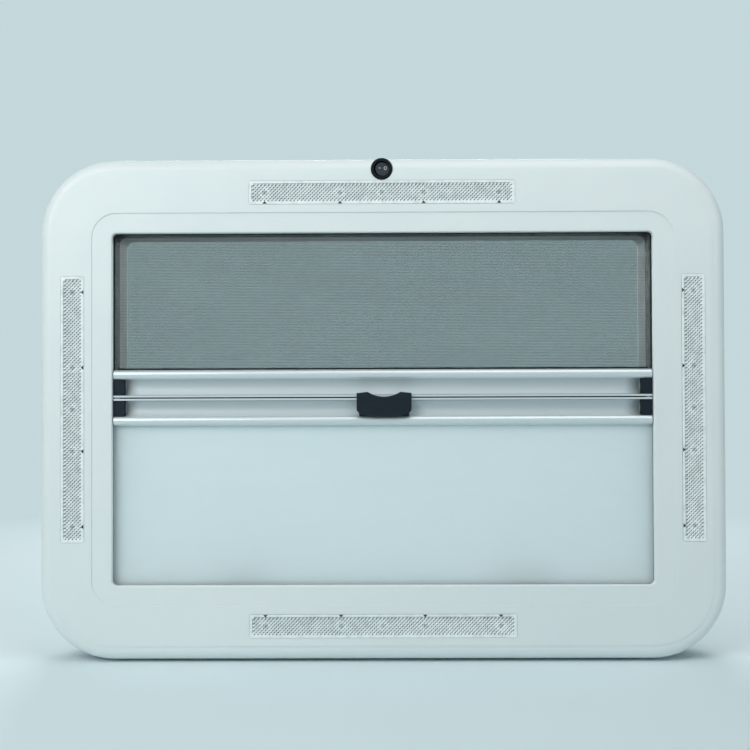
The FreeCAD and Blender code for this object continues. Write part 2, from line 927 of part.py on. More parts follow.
def spigot_size(grow):
    """Width, height and corner radius of the spigot's outline, moved out by a given size."""
    edge = 2 * size.cutout_margin + 2 * size.spigot_fit - 2 * as_size(grow)
    return size.frame_width - edge, size.frame_height - edge, size.spigot_radius + grow


def outer_frame():
    """The roof flange with its hollow curb, a rebate for the spigot and the tunnel's opening."""
    body = new_body("outer_frame")
    sketch = new_sketch(body, "XZ_Plane")
    rounded_rectangle(sketch, size.frame_width, size.frame_height, size.flange_radius)
    pad(body, sketch, size.flange_thickness, reverse=True)
    curb_width, curb_height = curb_size(0)
    sketch = new_sketch(body, "XZ_Plane", land)
    rounded_rectangle(sketch, curb_width, curb_height, size.curb_radius)
    pad(body, sketch, size.curb_height)
    sketch = new_sketch(body, "XZ_Plane")
    rounded_rectangle(
        sketch,
        curb_width - 2 * size.curb_wall,
        curb_height - 2 * size.curb_wall,
        size.curb_radius - size.curb_wall,
    )
    pocket(body, sketch, size.curb_height - size.curb_wall)
    sketch = new_sketch(body, "XZ_Plane")
    rounded_rectangle(sketch, *spigot_size(size.rebate_fit))
    pocket(body, sketch, size.rebate_depth)
    sketch = new_sketch(body, "XZ_Plane", land + size.curb_wall)
    rounded_rectangle(sketch, aperture_width, aperture_height, size.tunnel_radius)
    pocket(body, sketch, size.curb_wall)

    sketch = new_sketch(body, "XZ_Plane")
    long_edge = size.frame_height / 2 - size.screw_edge
    short_edge = size.frame_width / 2 - size.screw_edge
    far = size.frame_width / 2 - size.screw_end
    for across in (-1, 1):
        for up in (-1, 1):
            circle(sketch, size.screw_hole, across * far, up * long_edge)
            circle(sketch, size.screw_hole, across * size.screw_long_near, up * long_edge)
            circle(sketch, size.screw_hole, across * short_edge, up * size.screw_short)
    pocket(body, sketch, size.flange_thickness)
    return body


def roof_spigot():
    """The ring in the flange's rebate that centres the frame in the roof's cut-out."""
    body = new_body("roof_spigot")
    sketch = new_sketch(body, "XZ_Plane", -size.rebate_depth)
    rounded_rectangle(sketch, *spigot_size(0))
    rounded_rectangle(sketch, *spigot_size(-size.spigot_wall))
    pad(body, sketch, size.rebate_depth + size.spigot_depth)
    return body


def tunnel_liner():
    """The wall round the light tunnel, from the curb's top to the cassettes."""
    body = new_body("tunnel_liner")
    liner_top = land + size.curb_wall
    wall = size.tunnel_wall
    sketch = new_sketch(body, "XZ_Plane", liner_top)
    rounded_rectangle(
        sketch, aperture_width + 2 * wall, aperture_height + 2 * wall, size.tunnel_radius + wall
    )
    rounded_rectangle(sketch, aperture_width, aperture_height, size.tunnel_radius)
    pad(body, sketch, cassette_back - liner_top)
    return body


def dome_gasket():
    """The rubber ring between the curb and the dome."""
    body = new_body("dome_gasket")
    sketch = new_sketch(body, "XZ_Plane", land)
    for inset in (size.gasket_edge, size.gasket_edge + size.gasket_width):
        rounded_rectangle(sketch, *curb_size(inset), size.curb_radius - inset)
    pad(body, sketch, size.gasket_thickness, reverse=True)
    return body


def dome_size(inset):
    """Width, height and corner radius of the dome's outline, moved in by a wall."""
    edge = 2 * as_size(inset)
    return size.frame_width - edge, size.frame_height - edge, size.flange_radius - inset


def dome_inner_pane():
    """The flat inner pane, set into the skirt of the outer one."""
    body = new_body("dome_inner_pane")
    sketch = new_sketch(body, "XZ_Plane", pane_face)
    rounded_rectangle(sketch, *dome_size(size.pane_thickness))
    pad(body, sketch, size.inner_pane_thickness, reverse=True)
    return body


def loft(kind, body, sections, places):
    """A straight-sided loft between two rounded outlines of the dome at their depths."""
    sketches = []
    for inset, depth in zip(sections, places):
        sketch = new_sketch(body, "XZ_Plane", depth)
        rounded_rectangle(sketch, *dome_size(inset))
        sketches.append(sketch)
    feature = body.newObject(f"PartDesign::{kind}", f"{body.Name}_{kind.lower()}")
    feature.Profile = sketches[0]
    feature.Sections = sketches[1:]
    feature.Ruled = True
    return feature


def dome_outer_pane():
    """The blown outer pane: an upright skirt, a sloped shoulder and a flat crown, one wall thick."""
    body = new_body("dome_outer_pane")
    wall = size.pane_thickness
    skirt = -(size.flange_thickness + size.skirt_gap)
    skirt_height = size.dome_height - size.dome_slope_height
    shoulder = skirt - skirt_height
    crown = skirt - size.dome_height
    sketch = new_sketch(body, "XZ_Plane", skirt)
    rounded_rectangle(sketch, *dome_size(0))
    pad(body, sketch, skirt_height, reverse=True)
    bubble = loft("AdditiveLoft", body, (0, size.dome_slope_width), (shoulder, crown))
    bubble = fillet(body, bubble, size.crown_round, lambda x, depth, z: near(depth, crown))
    fillet(body, bubble, size.shoulder_round, lambda x, depth, z: near(depth, shoulder))

    # the inside follows the outside one wall in
    sketch = new_sketch(body, "XZ_Plane", skirt)
    rounded_rectangle(sketch, *dome_size(wall))
    pocket(body, sketch, skirt_height - wall / 2)
    loft(
        "SubtractiveLoft",
        body,
        (wall, size.dome_slope_width + wall / 3),
        (shoulder + wall / 2, crown + wall),
    )
    return body


def dome_hinge(side):
    """A hinge under the dome's upper edge: leaves on flange and inner pane, and a barrel of three knuckles."""
    sign = -1 if side == "left" else 1
    flange_face = -size.flange_thickness
    axis_depth = (flange_face + pane_face) / 2
    body = new_body(
        f"dome_hinge_{side}",
        sign * size.hinge_spread,
        axis_depth,
        size.frame_height / 2 - size.hinge_edge,
    )
    half = size.hinge_width / 2
    third = size.hinge_width / 6
    radius = size.hinge_barrel / 2
    neck = radius - size.knuckle_depth
    groove = size.knuckle_groove / 2
    profile = [(-half, 0), (-half, radius)]
    for place in (-third, third):
        profile += [
            (place - groove, radius),
            (place - groove, neck),
            (place + groove, neck),
            (place + groove, radius),
        ]
    profile += [(half, radius), (half, 0)]
    sketch = new_sketch(body, "XY_Plane")
    outline(sketch, profile)
    revolve(body, sketch, "X_Axis")

    # the two leaves, each joined to the barrel by a web
    reach = flange_face - axis_depth
    for face, back in ((reach, False), (-reach, True)):
        sketch = new_sketch(body, "XZ_Plane", face)
        leaf = size.hinge_leaf_width
        rounded_rectangle(sketch, size.hinge_width, leaf, leaf / 5)
        pad(body, sketch, size.hinge_leaf, reverse=not back)
    sketch = new_sketch(body, "YZ_Plane")
    web = size.hinge_web / 2
    rectangle(sketch, -reach, reach, -web, web)
    pad(body, sketch, size.hinge_width / 3 - size.knuckle_groove, both=True)
    return body


def dome_latch(side):
    """A turn latch on the inner pane's lower edge: base, hub and lever."""
    sign = -1 if side == "left" else 1
    body = new_body(
        f"dome_latch_{side}", sign * size.latch_spread, 0, size.latch_edge - half_height
    )
    sketch = new_sketch(body, "XZ_Plane", pane_face)
    rounded_rectangle(sketch, size.latch_length, size.latch_width, size.latch_width / 3)
    pad(body, sketch, size.latch_plate)
    sketch = new_sketch(body, "XZ_Plane", pane_face + size.latch_plate)
    circle(sketch, size.latch_hub)
    pad(body, sketch, size.latch_hub_height)
    lever_back = pane_face + size.latch_plate + size.latch_hub_height
    sketch = new_sketch(body, "XZ_Plane", lever_back)
    rounded_rectangle(sketch, size.lever_length, size.lever_width, size.lever_width / 2.5)
    lever = pad(body, sketch, size.lever_thickness)
    front = lever_back + size.lever_thickness
    fillet(body, lever, size.lever_thickness / 4, lambda x, depth, z: near(depth, front))
    return body


def dome_stay(side):
    """A telescopic stay along the tunnel wall: sleeve, rod, wall foot and pane foot."""
    sign = -1 if side == "left" else 1
    body = new_body(f"dome_stay_{side}", sign * (half_width - size.stay_wall_gap), -size.stay_depth)
    sketch = new_sketch(body, "XY_Plane", size.stay_top)
    circle(sketch, size.stay_tube)
    pad(body, sketch, size.stay_sleeve, reverse=True)
    sketch = new_sketch(body, "XY_Plane", size.stay_top - size.stay_sleeve)
    circle(sketch, size.stay_rod)
    pad(body, sketch, size.stay_bottom + size.stay_top - size.stay_sleeve, reverse=True)
    half = size.stay_foot / 2
    sketch = new_sketch(body, "YZ_Plane")
    rectangle(sketch, -half / 2, half / 2, size.stay_top - size.stay_foot, size.stay_top)
    pad(body, sketch, size.stay_wall_gap, reverse=sign < 0)
    sketch = new_sketch(body, "XZ_Plane")
    rectangle(sketch, -half / 2, half / 2, -size.stay_bottom, size.stay_foot - size.stay_bottom)
    pad(body, sketch, -(pane_face + size.stay_depth), reverse=True)
    return body


pieces = [inner_frame()]
for light_side in light_sides:
    pieces.append(light_lens(light_side))
    pieces.append(light_board(light_side))
pieces += [switch_housing(), switch_rocker()]
pieces += [cassette("screen_cassette", 1), cassette("blind_cassette", -1)]
pieces += [roller("screen_roller", 1), roller("blind_roller", -1)]
pieces += [fabric("fly_screen", 1), fabric("blackout_blind", -1)]
pieces += [pull_bar("screen_bar", 1), pull_bar("blind_bar", -1), pull_handle()]
pieces += [outer_frame(), roof_spigot(), tunnel_liner()]
pieces += [dome_gasket(), dome_inner_pane(), dome_outer_pane()]
for hand in ("left", "right"):
    pieces.append(side_track(hand))
    pieces.append(bar_cap(f"screen_bar_cap_{hand}", 1, hand))
    pieces.append(bar_cap(f"blind_bar_cap_{hand}", -1, hand))
    pieces += [dome_hinge(hand), dome_latch(hand), dome_stay(hand)]
doc.recompute()

for item in doc.Objects:
    if "Invalid" in item.State or "Error" in item.State:
        raise RuntimeError(f"{item.Label} didn't build: {item.State}")
os.makedirs("parts", exist_ok=True)
for piece in pieces:
    if piece.Shape.isNull() or not piece.Shape.isValid():
        raise RuntimeError(f"{piece.Label} has no valid shape")
    piece.Shape.exportStep(f"parts/{piece.Label}.step")
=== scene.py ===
import json
import math

import bpy
import numpy as np
from mathutils import Matrix, Vector


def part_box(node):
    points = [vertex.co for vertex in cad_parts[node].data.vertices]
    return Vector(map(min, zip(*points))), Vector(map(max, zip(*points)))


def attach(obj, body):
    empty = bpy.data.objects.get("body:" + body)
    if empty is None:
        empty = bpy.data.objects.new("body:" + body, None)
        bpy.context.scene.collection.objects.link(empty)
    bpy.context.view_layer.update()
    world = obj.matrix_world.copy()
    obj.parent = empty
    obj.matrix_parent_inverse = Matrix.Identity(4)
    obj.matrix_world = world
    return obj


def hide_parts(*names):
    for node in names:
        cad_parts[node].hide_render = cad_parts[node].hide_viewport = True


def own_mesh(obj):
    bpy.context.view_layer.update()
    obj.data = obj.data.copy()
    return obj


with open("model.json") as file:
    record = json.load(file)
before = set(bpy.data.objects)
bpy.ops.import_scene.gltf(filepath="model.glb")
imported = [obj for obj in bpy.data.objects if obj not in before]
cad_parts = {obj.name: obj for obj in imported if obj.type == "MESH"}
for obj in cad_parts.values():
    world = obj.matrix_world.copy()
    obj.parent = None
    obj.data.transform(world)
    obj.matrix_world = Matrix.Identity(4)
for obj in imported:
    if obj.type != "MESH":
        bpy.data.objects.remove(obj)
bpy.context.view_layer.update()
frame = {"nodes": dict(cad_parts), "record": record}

scene = bpy.context.scene
millimetre = 0.001
middleZ = 0.27  # height of the opening's middle, half the frame
print("frame loaded,", len(frame["nodes"]), "nodes")


# mesh from whole arrays: points is n by 3 in metres, faces a list of index arrays
def meshPiece(name, points, faces, uv=None, smooth=True):
    mesh = bpy.data.meshes.new(name)
    mesh.from_pydata(points.tolist(), [], [row for block in faces for row in block.tolist()])
    if uv is not None:
        layer = mesh.uv_layers.new(name="clothUV")
        corner = np.zeros(len(mesh.loops), np.int32)
        mesh.loops.foreach_get("vertex_index", corner)
        layer.data.foreach_set("uv", uv[corner].astype(np.float32).ravel())
    mesh.polygons.foreach_set("use_smooth", np.full(len(mesh.polygons), smooth))
    mesh.validate()
    mesh.update()
    piece = bpy.data.objects.new(name, mesh)
    scene.collection.objects.link(piece)
    return piece


# every pair of two rows of values, as two grids
def crossed(first, second):
    return np.meshgrid(first, second, indexing="ij")


# angles of a full turn, without the end that repeats the start
def fullTurn(count):
    return np.linspace(0, 2 * math.pi, count + 1)[:-1]


# list of points from three grids or single numbers
def pointList(x, y, z):
    return np.stack(np.broadcast_arrays(x, y, z), -1).reshape(-1, 3)


# sum of sines; each wave has a height, a rate along u, a rate along v and a start
def sineSum(waves, u, v):
    return sum(height * np.sin(rateU * u + rateV * v + start) for height, rateU, rateV, start in waves)


# quads of a rows by columns grid, wrapped round where closed is true
def gridQuads(rows, columns, closedRows=False, closedColumns=False):
    i = np.arange(rows if closedRows else rows - 1)[:, None]
    j = np.arange(columns if closedColumns else columns - 1)[None, :]
    here = i * columns
    below = (i + 1) % rows * columns
    along = (j + 1) % columns
    return np.stack([here + j, here + along, below + along, below + j], -1).reshape(-1, 4)


# closed plate from a front grid and a back grid of the same size: both grids, and a wall round the edge
def plateFaces(rows, columns):
    count = rows * columns
    edge = np.r_[np.arange(rows) * columns, (rows - 1) * columns + np.arange(1, columns),
                 np.arange(rows - 2, -1, -1) * columns + columns - 1, np.arange(columns - 2, 0, -1)]
    after = np.roll(edge, -1)
    grid = gridQuads(rows, columns)
    return [grid[:, ::-1], grid + count, np.c_[edge, edge + count, after + count, after]]


# closed bar of rings, one ring to a row, with a flat face over each end
def barFaces(rings, columns, start=0):
    wall = gridQuads(rings, columns, closedColumns=True)[:, ::-1]
    first = np.arange(columns)[None, :]
    last = (rings - 1) * columns + first[:, ::-1]
    return [wall + start, first + start, last + start]


# points of several copies of a mesh, one for each shift
def copiedPoints(points, shifts):
    return (points + shifts[:, None]).reshape(-1, 3)


# faces of several copies of a mesh: those of copy k are moved on by k times the point count
def copiedFaces(faces, count, copies):
    steps = np.arange(copies)[:, None, None] * count
    return [(block + steps).reshape(-1, block.shape[1]) for block in faces]


# new material, its node tree and its main shader
def startFinish(name):
    material = bpy.data.materials.new(name)
    material.use_nodes = True
    tree = material.node_tree
    return material, tree, tree.nodes["Principled BSDF"]


def addNode(tree, kind, **settings):
    node = tree.nodes.new(kind)
    for key, value in settings.items():
        setattr(node, key, value)
    return node


# the piece's own coordinates, stretched by a scale for each axis
def stretched(tree, scale=(1, 1, 1)):
    coordinates = addNode(tree, "ShaderNodeTexCoord")
    mapping = addNode(tree, "ShaderNodeMapping")
    mapping.inputs["Scale"].default_value = scale
    tree.links.new(coordinates.outputs["Object"], mapping.inputs["Vector"])
    return mapping.outputs["Vector"]


def noiseOver(tree, vector, scale, detail, roughness=0.55):
    noise = addNode(tree, "ShaderNodeTexNoise")
    noise.inputs["Scale"].default_value = scale
    noise.inputs["Detail"].default_value = detail
    noise.inputs["Roughness"].default_value = roughness
    tree.links.new(vector, noise.inputs["Vector"])
    return noise.outputs["Fac"]


# a value moved from one range to another; most of a noise lies in the range given here
def mapped(tree, value, low, high, fromLow=0.3, fromHigh=0.7):
    remap = addNode(tree, "ShaderNodeMapRange")
    for key, number in (("From Min", fromLow), ("From Max", fromHigh), ("To Min", low), ("To Max", high)):
        remap.inputs[key].default_value = number
    tree.links.new(value, remap.inputs["Value"])
    return remap.outputs["Result"]


mixSockets = dict(share=0, first=6, second=7, result=2)  # the Mix node's sockets for colours


# mix of two colours, each a fixed tone or another node's output
def mixedColour(tree, share, first, second, blend="MIX"):
    mix = addNode(tree, "ShaderNodeMix", data_type="RGBA", blend_type=blend)
    for key, colour in (("first", first), ("second", second)):
        socket = mix.inputs[mixSockets[key]]
        if isinstance(colour, tuple):
            socket.default_value = (*colour, 1)
        else:
            tree.links.new(colour, socket)
    tree.links.new(share, mix.inputs[mixSockets["share"]])
    return mix.outputs[mixSockets["result"]]


def maths(tree, operation, first, second=None):
    node = addNode(tree, "ShaderNodeMath", operation=operation)
    for socket, value in zip(node.inputs, (first, second)):
        if isinstance(value, (int, float)):
            socket.default_value = value
        elif value is not None:
            tree.links.new(value, socket)
    return node.outputs[0]


def bumped(tree, shader, height, strength, distance):
    bump = addNode(tree, "ShaderNodeBump")
    bump.inputs["Strength"].default_value = strength
    bump.inputs["Distance"].default_value = distance
    tree.links.new(height, bump.inputs["Height"])
    tree.links.new(bump.outputs["Normal"], shader.inputs["Normal"])


# base colour between the look's two tones, by a noise
def toned(tree, shader, noise, look):
    colour = mixedColour(tree, mapped(tree, noise, 0, 1), look["tone"], look["tone2"])
    tree.links.new(colour, shader.inputs["Base Color"])


# roughness between the look's two ends, by a noise
def roughened(tree, shader, noise, look):
    tree.links.new(mapped(tree, noise, *look["rough"]), shader.inputs["Roughness"])


# two shaders mixed by a share and sent to the output
def shownMix(tree, output, share, first, second):
    mix = addNode(tree, "ShaderNodeMixShader")
    if isinstance(share, float):
        mix.inputs[0].default_value = share
    else:
        tree.links.new(share, mix.inputs[0])
    tree.links.new(first.outputs[0], mix.inputs[1])
    tree.links.new(second.outputs[0], mix.inputs[2])
    tree.links.new(mix.outputs[0], output.inputs["Surface"])


# 1 for rays of any of the named kinds, else 0
def raysOf(tree, *kinds):
    path = addNode(tree, "ShaderNodeLightPath")
    share = path.outputs[kinds[0]]
    for kind in kinds[1:]:
        share = maths(tree, "MAXIMUM", share, path.outputs[kind])
    return share


moulding = dict(driftDetail=3, smearStretch=(1, 1, 2.5), smearDetail=5, grainDetail=2)


# moulded plastic: slow colour drift, uneven gloss and a fine grain
def mouldedPlastic(name, look):
    material, tree, shader = startFinish(name)
    toned(tree, shader, noiseOver(tree, stretched(tree), look["driftScale"], moulding["driftDetail"]), look)
    smearSpace = stretched(tree, moulding["smearStretch"])
    roughened(tree, shader, noiseOver(tree, smearSpace, look["smearScale"], moulding["smearDetail"]), look)
    grain = noiseOver(tree, stretched(tree), look["grainScale"], moulding["grainDetail"])
    bumped(tree, shader, grain, look["grainStrength"], look["grainDepth"])
    shader.inputs["Specular IOR Level"].default_value = look["gloss"]
    return material


plasticLooks = {
    "white_plastic": dict(tone=(0.80, 0.865, 0.865), tone2=(0.765, 0.84, 0.845), driftScale=7, smearScale=30,
                          rough=(0.3, 0.42), grainScale=900, grainStrength=0.12, grainDepth=0.0004,
                          gloss=0.5),
    "liner_grey": dict(tone=(0.50, 0.535, 0.525), tone2=(0.47, 0.51, 0.50), driftScale=9, smearScale=40,
                       rough=(0.42, 0.55), grainScale=900, grainStrength=0.15, grainDepth=0.0004, gloss=0.4),
    "black_plastic": dict(tone=(0.0035, 0.0095, 0.0165), tone2=(0.006, 0.0145, 0.0235), driftScale=45,
                          smearScale=120, rough=(0.4, 0.55), grainScale=2200, grainStrength=0.3,
                          grainDepth=0.0003, gloss=0.25),
    "bezel_black": dict(tone=(0.0015, 0.0035, 0.005), tone2=(0.003, 0.006, 0.008), driftScale=60,
                        smearScale=160,
                        rough=(0.3, 0.42), grainScale=2600, grainStrength=0.2, grainDepth=0.0002, gloss=0.2),
    "rocker_black": dict(tone=(0.022, 0.034, 0.042), tone2=(0.030, 0.043, 0.052), driftScale=90,
                         smearScale=200,
                         rough=(0.34, 0.46), grainScale=2600, grainStrength=0.25, grainDepth=0.0002,
                         gloss=0.35),
    "dark_plastic": dict(tone=(0.018, 0.026, 0.030), tone2=(0.030, 0.040, 0.045), driftScale=25,
                         smearScale=90,
                         rough=(0.45, 0.62), grainScale=1500, grainStrength=0.3, grainDepth=0.0003,
                         gloss=0.35),
    "rubber": dict(tone=(0.012, 0.014, 0.015), tone2=(0.024, 0.026, 0.028), driftScale=40, smearScale=60,
                   rough=(0.7, 0.85), grainScale=1300, grainStrength=0.4, grainDepth=0.0003, gloss=0.3),
    "light_board": dict(tone=(0.74, 0.80, 0.79), tone2=(0.66, 0.74, 0.74), driftScale=60, smearScale=200,
                        rough=(0.35, 0.5), grainScale=1800, grainStrength=0.15, grainDepth=0.0002, gloss=0.5),
}
finish = {name: mouldedPlastic(name, look) for name, look in plasticLooks.items()}

drawing = dict(streakDetail=6, streakRoughness=0.6, streakShare=0.6, cloudDetail=3, cloudShare=0.4,
               bumpDepth=0.0002)


# drawn metal: long fine streaks along one axis in colour, gloss and bump; behind a given depth the colour is
# darkened as painted shade of the recess
def drawnMetal(name, look):
    material, tree, shader = startFinish(name)
    streakSpace = stretched(tree, look["stretch"])
    streak = noiseOver(tree, streakSpace, look["streakScale"], drawing["streakDetail"],
                       drawing["streakRoughness"])
    cloud = noiseOver(tree, stretched(tree), look["cloudScale"], drawing["cloudDetail"])
    skin = mixedColour(tree, mapped(tree, streak, 0, 1), look["tone"], look["tone2"])
    # painted shade: faces set back behind the given depths are multiplied by a darker tone, standing in for
    # the shade in the bars' recesses
    if "paintedShadeDepths" in look:
        split = addNode(tree, "ShaderNodeSeparateXYZ")
        tree.links.new(stretched(tree), split.inputs[0])
        paintedShade = mapped(tree, split.outputs["Y"], 0, 1, *look["paintedShadeDepths"])
        skin = mixedColour(tree, paintedShade, skin, look["paintedShadeTone"], "MULTIPLY")
    tree.links.new(skin, shader.inputs["Base Color"])
    streakPart = maths(tree, "MULTIPLY", streak, drawing["streakShare"])
    cloudPart = maths(tree, "MULTIPLY", cloud, drawing["cloudShare"])
    roughened(tree, shader, maths(tree, "ADD", streakPart, cloudPart), look)
    bumped(tree, shader, streak, look["bumpStrength"], drawing["bumpDepth"])
    shader.inputs["Metallic"].default_value = look["metallic"]
    return material


metalLooks = {
    "aluminium": dict(tone=(0.70, 0.765, 0.785), tone2=(0.675, 0.745, 0.765), stretch=(0.8, 1400, 1400),
                      streakScale=1.0, cloudScale=14, rough=(0.28, 0.34), bumpStrength=0.008, metallic=0.45,
                      # painted shade: behind these depths the recesses of the bars are darkened to this tone
                      paintedShadeDepths=(-0.0475, -0.0462), paintedShadeTone=(0.79, 0.805, 0.81)),
    "stay_metal": dict(tone=(0.62, 0.65, 0.67), tone2=(0.50, 0.53, 0.55), stretch=(900, 900, 6),
                       streakScale=1.0, cloudScale=40, rough=(0.22, 0.36), bumpStrength=0.12, metallic=1.0),
}
finish.update({name: drawnMetal(name, look) for name, look in metalLooks.items()})


# clear sheet: see-through, with a gloss that grows at grazing angles and a faint wipe haze
def clearSheet(name, look):
    material, tree, shader = startFinish(name)
    shader.inputs["Base Color"].default_value = (*look["tone"], 1)
    haze = noiseOver(tree, stretched(tree, look["hazeStretch"]), look["hazeScale"], look["hazeDetail"])
    roughened(tree, shader, haze, look)
    shader.inputs["Specular IOR Level"].default_value = look["gloss"]
    through = addNode(tree, "ShaderNodeBsdfTransparent")
    through.inputs["Color"].default_value = (*look["tint"], 1)
    edge = addNode(tree, "ShaderNodeLayerWeight")
    edge.inputs["Blend"].default_value = look["edgeBlend"]
    edgeGloss = maths(tree, "MULTIPLY", edge.outputs["Fresnel"], look["edgeShare"])
    cover = maths(tree, "MINIMUM", maths(tree, "ADD", mapped(tree, haze, *look["film"]), edgeGloss), 1.0)
    shownMix(tree, tree.nodes["Material Output"], cover, through, shader)
    return material


acrylicLook = dict(tone=(0.62, 0.70, 0.72), tint=(0.95, 0.985, 0.985), hazeStretch=(1, 1, 3), hazeScale=9,
                   hazeDetail=4, rough=(0.04, 0.1), film=(0.02, 0.045), gloss=0.6, edgeBlend=0.25,
                   edgeShare=0.75)
finish["acrylic"] = clearSheet("acrylic", acrylicLook)


# prismatic clear plastic: each facet carries a painted shade, standing in for the light the prisms gather and
# set by how the facet leans towards the key lamp; a fine noise moves that painted shade up and down, and the
# shade also sets how much of the facet is see-through
def prismPlastic(name, look):
    material, tree, shader = startFinish(name)
    paintedFacetShade = addNode(tree, "ShaderNodeAttribute", attribute_name="paintedFacetShade").outputs["Fac"]
    sparkle = noiseOver(tree, stretched(tree), look["sparkleScale"], look["sparkleDetail"])
    shade = maths(tree, "ADD", paintedFacetShade, mapped(tree, sparkle, -look["sparkle"], look["sparkle"]))
    tree.links.new(mixedColour(tree, shade, look["dark"], look["bright"]), shader.inputs["Base Color"])
    roughened(tree, shader, sparkle, look)
    tree.links.new(mapped(tree, shade, *look["cover"], 0, 1), shader.inputs["Alpha"])
    shader.inputs["Specular IOR Level"].default_value = look["gloss"]
    return material


# dark and bright are the two ends of the painted facet shade; the sparkle noise moves that painted shade at
# random from facet to facet
prismLook = dict(dark=(0.115, 0.155, 0.165), bright=(0.91, 0.985, 0.995), sparkleScale=120, sparkleDetail=2,
                 sparkle=0.12, rough=(0.14, 0.26), cover=(0.86, 0.97), gloss=0.55)
finish["clear_lens"] = prismPlastic("clear_lens", prismLook)


# the two lengths across a sheet, in UV metres
def clothAxes(tree):
    uv = addNode(tree, "ShaderNodeUVMap", uv_map="clothUV")
    split = addNode(tree, "ShaderNodeSeparateXYZ")
    tree.links.new(uv.outputs[0], split.inputs[0])
    return split.outputs["X"], split.outputs["Y"]


# threads: a sine with one wave to each pitch
def threads(tree, length, pitch):
    return maths(tree, "SINE", maths(tree, "MULTIPLY", length, 2 * math.pi / pitch))


# woven net: two sets of round threads; what lies between the threads is partly open
def wovenNet(name, look):
    material, tree, shader = startFinish(name)
    ridges = [mapped(tree, threads(tree, length, pitch), 0, 1, *look["thread"])
              for length, pitch in zip(clothAxes(tree), look["pitch"])]
    cover = mapped(tree, maths(tree, "MAXIMUM", *ridges), *look["cover"], 0, 1)
    drift = noiseOver(tree, stretched(tree, look["driftStretch"]), look["driftScale"], look["driftDetail"])
    toned(tree, shader, drift, look)
    weight = mapped(tree, drift, *look["weight"])
    tree.links.new(maths(tree, "MULTIPLY", cover, weight), shader.inputs["Alpha"])
    shader.inputs["Roughness"].default_value = look["rough"]
    shader.inputs["Specular IOR Level"].default_value = look["gloss"]
    bumped(tree, shader, cover, look["bumpStrength"], look["bumpDepth"])
    return material


netLook = dict(pitch=(0.00052, 0.00165), thread=(0.0, 0.9), cover=(0.44, 0.76), weight=(0.97, 1.0),
               tone=(0.052, 0.047, 0.044), tone2=(0.066, 0.061, 0.058), driftStretch=(1.5, 1, 90),
               driftScale=6,
               driftDetail=4, rough=0.62, gloss=0.3, bumpStrength=0.5, bumpDepth=0.0003)
finish["screen_mesh"] = wovenNet("screen_mesh", netLook)


# coated cloth: close plain weave under a satin coat, with slow shade drift and some light shining through
def coatedCloth(name, look):
    material, tree, shader = startFinish(name)
    warp, weft = [threads(tree, length, look["pitch"]) for length in clothAxes(tree)]
    slub = noiseOver(tree, stretched(tree, look["slubStretch"]), look["slubScale"], look["slubDetail"])
    toned(tree, shader, slub, look)
    roughened(tree, shader, slub, look)
    shader.inputs["Sheen Weight"].default_value = look["sheen"]
    shader.inputs["Specular IOR Level"].default_value = look["gloss"]
    bumped(tree, shader, maths(tree, "MULTIPLY", warp, weft), look["bumpStrength"], look["bumpDepth"])
    glow = addNode(tree, "ShaderNodeBsdfTranslucent")
    glow.inputs["Color"].default_value = (*look["glow"], 1)
    shownMix(tree, tree.nodes["Material Output"], look["glowShare"], shader, glow)
    return material


blindLook = dict(pitch=0.0009, tone=(0.69, 0.79, 0.815), tone2=(0.677, 0.776, 0.80), rough=(0.5, 0.62),
                 slubStretch=(3, 1, 12), slubScale=7, slubDetail=5, sheen=0.12, gloss=0.35,
                 bumpStrength=0.12, bumpDepth=0.0002, glow=(0.92, 0.97, 0.98), glowShare=0.2)
finish["blind_fabric"] = coatedCloth("blind_fabric", blindLook)

ownFinish = {"switch_housing": "bezel_black", "switch_rocker": "rocker_black", "tunnel_liner": "liner_grey"}
for part in frame["record"]["subparts"]:
    node = frame["nodes"][part["node"]]
    node.data.materials.clear()
    node.data.materials.append(finish[ownFinish.get(part["node"], part["material_slot"])])
print("finishes set on the CAD nodes:", len(finish))


# material, body and slot of a piece; the material is the slot's own unless another is given
def dressed(piece, body, slotName, material=None):
    piece.data.materials.append(material or finish[slotName])
    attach(piece, body)
    return piece


# light lenses, one on each side of the frame, and the light chips behind them; lengths in millimetres
lens = dict(length=286, width=25, border=2.6, rows=5, columns=71, seat=56.0, plate=57.2, valley=56.55,
            prism=0.95)
# facet numbers: the painted shade of the lens facets, lighter as a facet leans towards the key lamp at upper
# left and darker as it leans away
facet = dict(lean=(-0.62, 0, 0.78), across=(0.78, 0, 0.62), level=0.80, darker=1.9, lighter=0.35,
             crossShare=0.12,
             flat=0.97, flatFrom=0.999, wall=0.25, wallTo=0.2)
# dim, patch, ring, ringRadius and ringWidth set a patch of painted shade and a ring of painted highlight on
# the lens over each chip
chip = dict(places=(-126, -45, 0, 45, 126), size=3.2, base=53.85, rise=0.55, sunk=0.2, steps=9,
            dim=0.45, patch=2.2, ring=0.2, ringRadius=4.4, ringWidth=1.5)
lensTurns = {"top": 0, "bottom": math.pi, "left": -math.pi / 2, "right": math.pi / 2}
lensCentres = {}
for side in lensTurns:
    low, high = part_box("light_lens_" + side)
    lensCentres[side] = (low + high) / 2


# points given along, across and out of a light are turned and moved to its side of the frame
def onLight(side, points):
    turn, centre = lensTurns[side], lensCentres[side]
    along, across, out = points.T * millimetre
    x = centre.x + along * math.cos(turn) + across * math.sin(turn)
    z = centre.z - along * math.sin(turn) + across * math.cos(turn)
    return pointList(x, -out, z)


# a small piece at each place along all the lights
def alongLights(name, points, faces, places):
    row = copiedPoints(points, pointList(np.array(places), 0, 0))
    allPoints = np.concatenate([onLight(side, row) for side in lensTurns])
    return meshPiece(name, allPoints, copiedFaces(faces, len(points), len(places) * len(lensTurns)))


